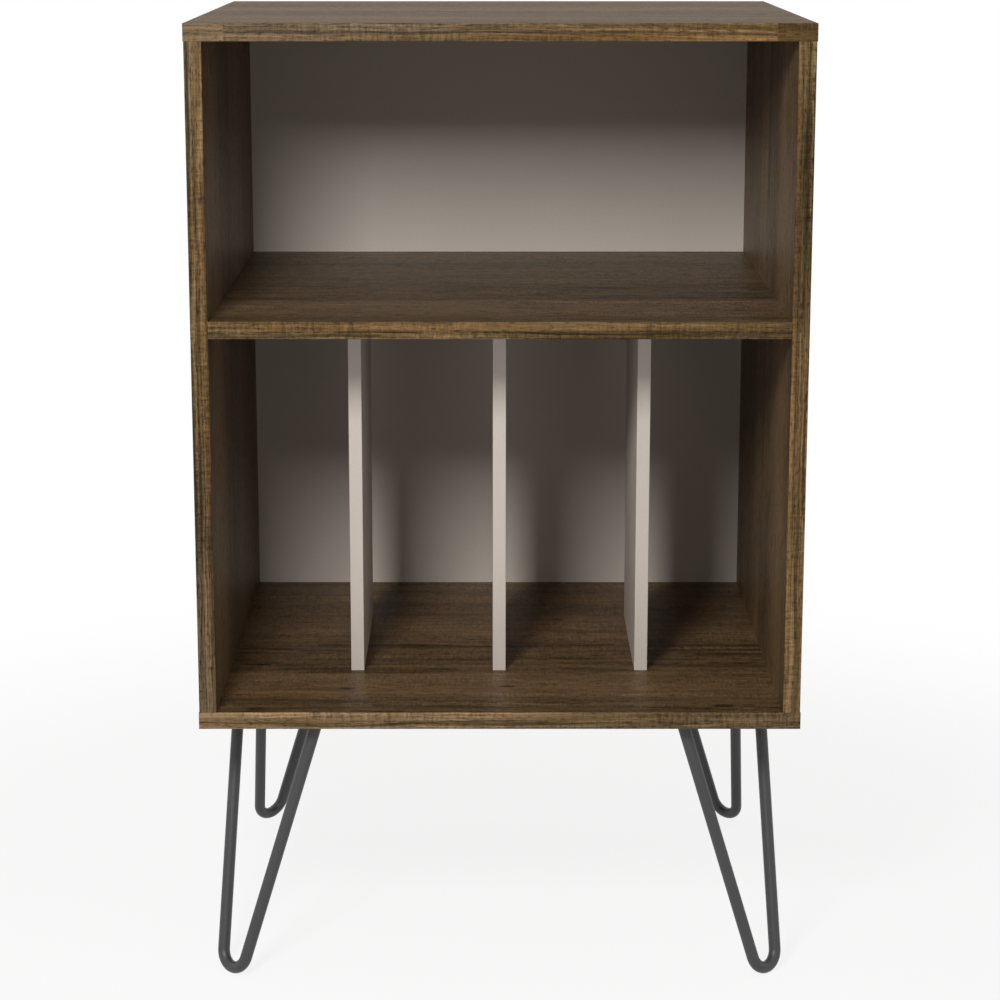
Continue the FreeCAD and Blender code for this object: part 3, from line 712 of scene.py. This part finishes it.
class STAND_OT_boards(bpy.types.Operator):
    """Gives the top, shelf, bottom and sides their walnut print"""

    bl_idname = "stand.boards"
    bl_label = "Walnut boards"

    top_dullness = 0.22
    raw_dullness = 0.35
    gloss = 0.13
    # Levels of the chip pattern, and how pale the chips are there.
    chip_shades = ((0.35, 0.45), (0.52, 1.0), (0.68, 1.25))

    def execute(self, context):
        looks = context.scene.stand_looks
        for name in BOARDS_LONG + BOARDS_TALL:
            finish = Finish(f"walnut_{name}")
            tinted, roughness, height = WalnutPrint(finish, looks.face, self.layout_of(name)).draw()
            tinted, roughness = self.with_raw_rear(finish, tinted, roughness, looks.plain.chipboard)
            if name == "top_board":
                roughness = roughness + self.top_dullness
            dress([name], finish.end(
                Base_Color=tinted, Roughness=roughness, Specular_IOR_Level=self.gloss,
                Normal=finish.bump(height, *PRINT_BUMP)))
        return {"FINISHED"}

    @staticmethod
    def layout_of(name):
        tints = [
            (at, [own * common for own, common in zip(BOARD_TINTS[name], tint)])
            for at, tint in FACE_TINTS]
        return Layout(
            GRAIN_LONG if name in BOARDS_LONG else GRAIN_TALL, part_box("top_board"), joints=FACE_JOINTS,
            knots=BOARD_KNOTS[name], tints=tints, streaks=FACE_STREAKS, streak_share=BOARD_STREAKS[name],
            saw_share=BOARD_SAW[name])

    def with_raw_rear(self, sheet, tinted, roughness, chipboard):
        """Shows bare chipboard on the rear edge of a board."""
        chips = sheet.noise(sheet.spot(), *PATTERNS["chips"])
        flakes = sheet.ramp(chips, [(at, [pale * c for c in chipboard]) for at, pale in self.chip_shades])
        rear = sheet.axes()["Y"] > RAW_REAR
        return sheet.mix(rear, tinted, flakes), roughness + rear * self.raw_dullness


class STAND_OT_edging(bpy.types.Operator):
    """Gives the walnut edge strips and the cam covers their streaked print"""

    bl_idname = "stand.edging"
    bl_label = "Walnut edging"

    gloss = 0.08

    def execute(self, context):
        looks = context.scene.stand_looks
        for name in STRIPS_LONG:
            self.print_on(name, STRIP_LONG, looks.edging)
        for name in STRIPS_TALL:
            self.print_on(name, STRIP_TALL, looks.upright)
        for name in STRIPS_END:
            self.print_on(name, STRIP_END, looks.edging)
        self.print_on("cam_covers", GRAIN_TALL, looks.face)
        return {"FINISHED"}

    def print_on(self, name, order, look):
        settings = {}
        if name in STRIP_TINTS:
            settings = {
                "tints": STRIP_TINTS[name], "tones": STRIP_TONES[name], "streaks": STRIP_STREAKS[name],
                "hues_and_sheen": STRIP_HUES_AND_SHEEN[name],
                "lines": STRIP_LINES[name], "reach": LINE_REACH[name]}
        if name == "top_front_strip":
            settings["ends"] = TOP_STRIP_JOINT
        finish = Finish(f"print_{name}")
        layout = Layout(order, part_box(name), **settings)
        tinted, roughness, height = WalnutPrint(finish, look, layout).draw()
        dress([name], finish.end(
            Base_Color=tinted, Roughness=roughness, Specular_IOR_Level=self.gloss,
            Normal=finish.bump(height, *PRINT_BUMP)))


class Laminate:
    """Taupe melamine: an even colour with a faint mottle and a fine pebbled surface."""

    mottle_tone = 0.10
    speck_tone = 0.08
    mottle_dull = 0.12

    def __init__(self, finish, plain):
        mottle = finish.pattern("mottle")
        shade = 1.0 + mottle * self.mottle_tone + finish.pattern("specks") * self.speck_tone
        self.tinted = finish.times(plain.taupe, shade)
        self.roughness = plain.laminate_roughness + mottle * self.mottle_dull
        self.pebble = finish.pattern("pebble")


class STAND_OT_dividers(bpy.types.Operator):
    """Gives the three dividers and their strips their taupe laminate"""

    bl_idname = "stand.dividers"
    bl_label = "Taupe dividers"

    pebble_dull = 0.10
    gloss = 0.35
    bump = (0.10, 0.0002)

    def execute(self, context):
        finish = Finish("taupe_laminate")
        sheet = Laminate(finish, context.scene.stand_looks.plain)
        dress(DIVIDERS + DIVIDER_STRIPS, finish.end(
            Base_Color=sheet.tinted, Roughness=sheet.roughness + sheet.pebble * self.pebble_dull,
            Specular_IOR_Level=self.gloss, Normal=finish.bump(sheet.pebble, *self.bump)))
        return {"FINISHED"}


class STAND_OT_back(bpy.types.Operator):
    """Gives the back panel its taupe face and its bare hardboard rear"""

    bl_idname = "stand.back"
    bl_label = "Back panel"

    cloud_tone, felt_tone, shred_tone = 0.45, 0.8, 0.5
    pebble_rise, screen_rise = 0.4, 0.3
    screen_turns = 2600.0
    rear_dull, felt_dull = 0.22, 0.3
    gloss = 0.30
    bump = (0.20, 0.0003)

    def execute(self, context):
        plain = context.scene.stand_looks.plain
        finish = Finish("back_hardboard")
        front = Laminate(finish, plain)
        axes = finish.axes()
        rear = axes["Y"] > PANEL_REAR
        felt = finish.pattern("felt")
        shade = 1.0 + finish.pattern("cloud") * self.cloud_tone + felt * self.felt_tone
        shade = shade + finish.pattern("shreds") * self.shred_tone
        screen = abs((axes["X"] * self.screen_turns).math("SINE"))
        front_height = front.pebble * self.pebble_rise
        rear_height = felt + screen * self.screen_rise
        height = front_height * (1.0 - rear) + rear_height * rear
        dress(["back_panel"], finish.end(
            Base_Color=finish.mix(rear, front.tinted, finish.times(plain.hardboard, shade)),
            Roughness=front.roughness + rear * (self.rear_dull + felt * self.felt_dull),
            Specular_IOR_Level=self.gloss, Normal=finish.bump(height, *self.bump)))
        return {"FINISHED"}


class STAND_OT_legs(bpy.types.Operator):
    """Gives the hairpin rods and their plates their charcoal powder coat"""

    bl_idname = "stand.legs"
    bl_label = "Hairpin legs"

    # The coat is scuffed where the bends stand on the floor, up to about this height.
    scuff_top, scuff_full, scuff_waver = 0.0022, 0.0002, 0.004
    peel_tone, haze_tone, scuff_tone = 0.35, 0.25, 0.5
    peel_dull, haze_dull, scuff_dull = 0.25, 0.12, 0.15
    peel_rise = 0.6
    gloss = 0.5
    bump = (0.16, 0.0004)

    def execute(self, context):
        plain = context.scene.stand_looks.plain
        finish = Finish("charcoal_powder_coat")
        peel = finish.pattern("peel")
        haze = finish.pattern("haze")
        scuff = finish.step(finish.axes()["Z"] + haze * self.scuff_waver, self.scuff_top, self.scuff_full)
        shade = 1.0 + peel * self.peel_tone + haze * self.haze_tone + scuff * self.scuff_tone
        roughness = plain.powder_roughness + peel * self.peel_dull + haze * self.haze_dull
        dress(RODS + PLATES, finish.end(
            Base_Color=finish.times(plain.charcoal, shade), Roughness=roughness + scuff * self.scuff_dull,
            Specular_IOR_Level=self.gloss,
            Normal=finish.bump(peel * self.peel_rise + finish.pattern("flow"), *self.bump)))
        return {"FINISHED"}


class STAND_OT_fixings(bpy.types.Operator):
    """Gives the screws, nails and cams their zinc and the dowels their beech"""

    bl_idname = "stand.fixings"
    bl_label = "Fixings"

    zinc_tone, bloom_tone, bloom_dull = 0.90, 0.5, 0.3
    zinc_bump = (0.10, 0.0002)
    beech_tone, fleck_tone, fleck_dull = 0.95, 0.6, 0.2
    beech_bump = (0.2, 0.0002)

    def execute(self, context):
        plain = context.scene.stand_looks.plain
        self.plate_with_zinc("plated_steel", STEEL_FIXINGS, plain.zinc, plain.steel_roughness)
        self.plate_with_zinc("cast_zinc", ZINC_FIXINGS, plain.zinc, plain.zinc_roughness)
        finish = Finish("turned_beech")
        flecks = finish.pattern("flecks")
        dress(DOWELS, finish.end(
            Base_Color=finish.times(plain.beech, self.beech_tone + flecks * self.fleck_tone),
            Roughness=plain.beech_roughness + flecks * self.fleck_dull,
            Normal=finish.bump(flecks, *self.beech_bump)))
        return {"FINISHED"}

    def plate_with_zinc(self, title, names, zinc, dullness):
        finish = Finish(title)
        bloom = finish.pattern("bloom")
        dress(names, finish.end(
            Base_Color=finish.times(zinc, self.zinc_tone + bloom * self.bloom_tone), Metallic=1.0,
            Roughness=dullness + bloom * self.bloom_dull,
            Normal=finish.bump(finish.pattern("grit"), *self.zinc_bump)))


class STAND_OT_studio(bpy.types.Operator):
    """Lays the white floor and sets the lamp, the surroundings and the camera"""

    bl_idname = "stand.studio"
    bl_label = "Studio"

    white = (1.0, 1.0, 1.0, 1.0)
    sensor_mm = 36.0

    def execute(self, context):
        studio = context.scene.stand_looks.studio
        self.lay_floor(context.scene, studio)
        self.surround(context.scene, studio)
        self.set_lamp(context.scene, studio)
        self.set_camera(context.scene, studio)
        context.scene.view_settings.view_transform = "Standard"
        return {"FINISHED"}

    @staticmethod
    def seen_directly(sheet):
        """1 for what the camera sees, straight or in a reflection or through glass."""
        path = sheet.node("ShaderNodeLightPath").socket.node.outputs
        camera, glossy, transmission = (
            Wire(sheet, path[f"Is {kind} Ray"]) for kind in ("Camera", "Glossy", "Transmission"))
        return (camera + glossy + transmission).math("MINIMUM", 1.0)

    def lay_floor(self, scene, studio):
        form = bmesh.new()
        bmesh.ops.create_grid(form, x_segments=1, y_segments=1, size=studio.floor_span / 2)
        mesh = bpy.data.meshes.new("studio_floor")
        form.to_mesh(mesh)
        form.free()
        floor = bpy.data.objects.new("studio_floor", mesh)
        scene.collection.objects.link(floor)
        finish = Finish("white_floor")
        axes = finish.axes()
        radius = (axes["X"] ** 2.0 + axes["Y"] ** 2.0) ** 0.5
        near = finish.step(radius, studio.shadow_reach, studio.shadow_core)
        shown_white = self.seen_directly(finish) * (1.0 - near * studio.shadow_depth)
        paint = finish.node("ShaderNodeBsdfDiffuse", inputs={"Color": (*studio.floor_paint, 1.0)})
        glow = finish.node("ShaderNodeEmission", inputs={"Color": self.white, "Strength": 1.0})
        both = finish.node("ShaderNodeMixShader", inputs=[shown_white, paint, glow])
        finish.node("ShaderNodeOutputMaterial", inputs={"Surface": both})
        mesh.materials.append(finish.material)

    def surround(self, scene, studio):
        world = bpy.data.worlds.new("studio_white")
        world.use_nodes = True
        scene.world = world
        sheet = Sheet(world.node_tree)
        even = sheet.node("ShaderNodeBackground", inputs={
            "Color": (*studio.daylight, 1.0), "Strength": studio.ambient})
        backdrop = sheet.node("ShaderNodeBackground", inputs={"Color": self.white, "Strength": 1.0})
        both = sheet.node("ShaderNodeMixShader", inputs=[self.seen_directly(sheet), even, backdrop])
        sheet.node("ShaderNodeOutputWorld", inputs={"Surface": both})

    @staticmethod
    def set_lamp(scene, studio):
        lamp = bpy.data.lights.new("key_softbox", "AREA")
        lamp.shape = "SQUARE"
        lamp.size = studio.key_size
        lamp.energy = studio.key_power
        holder = bpy.data.objects.new("key_softbox", lamp)
        holder.location = studio.key
        towards = Vector(studio.key_aim) - Vector(studio.key)
        holder.rotation_euler = towards.to_track_quat("-Z", "Y").to_euler()
        holder.visible_camera = False
        scene.collection.objects.link(holder)

    def set_camera(self, scene, studio):
        lens = bpy.data.cameras.new("photo_camera")
        lens.sensor_width = self.sensor_mm
        lens.lens = studio.lens
        lens.shift_x, lens.shift_y = studio.shift
        camera = bpy.data.objects.new("photo_camera", lens)
        camera.location = studio.eye
        camera.rotation_euler = (math.pi / 2 - studio.tilt, 0.0, 0.0)
        scene.collection.objects.link(camera)
        scene.camera = camera


STEPS = (
    STAND_OT_boards, STAND_OT_edging, STAND_OT_dividers, STAND_OT_back,
    STAND_OT_legs, STAND_OT_fixings, STAND_OT_studio)


class STAND_PT_looks(bpy.types.Panel):
    """Lists the steps that dress the stand, and the settings that they read"""

    bl_idname = "STAND_PT_looks"
    bl_label = "Turntable Stand"
    bl_space_type = "VIEW_3D"
    bl_region_type = "UI"
    bl_category = "Stand"

    def draw(self, context):
        looks = context.scene.stand_looks
        for step in STEPS:
            self.layout.operator(step.bl_idname)
        for title in StandLooks.__annotations__:
            settings = getattr(looks, title)
            box = self.layout.box()
            box.label(text=title.capitalize())
            for key in type(settings).__annotations__:
                box.prop(settings, key)


CLASSES = (
    StandFaceLook, StandEdgingLook, StandUprightLook, StandPlainLook, StandStudio, StandLooks,
    *STEPS, STAND_PT_looks)


def register():
    for cls in CLASSES:
        bpy.utils.register_class(cls)
    bpy.types.Scene.stand_looks = PointerProperty(type=StandLooks)


def unregister():
    del bpy.types.Scene.stand_looks
    for cls in reversed(CLASSES):
        bpy.utils.unregister_class(cls)


def main():
    register()
    bpy.ops.stand.boards()
    bpy.ops.stand.edging()
    bpy.ops.stand.dividers()
    bpy.ops.stand.back()
    bpy.ops.stand.legs()
    bpy.ops.stand.fixings()
    bpy.ops.stand.studio()


if __name__ == "__main__":
    main()
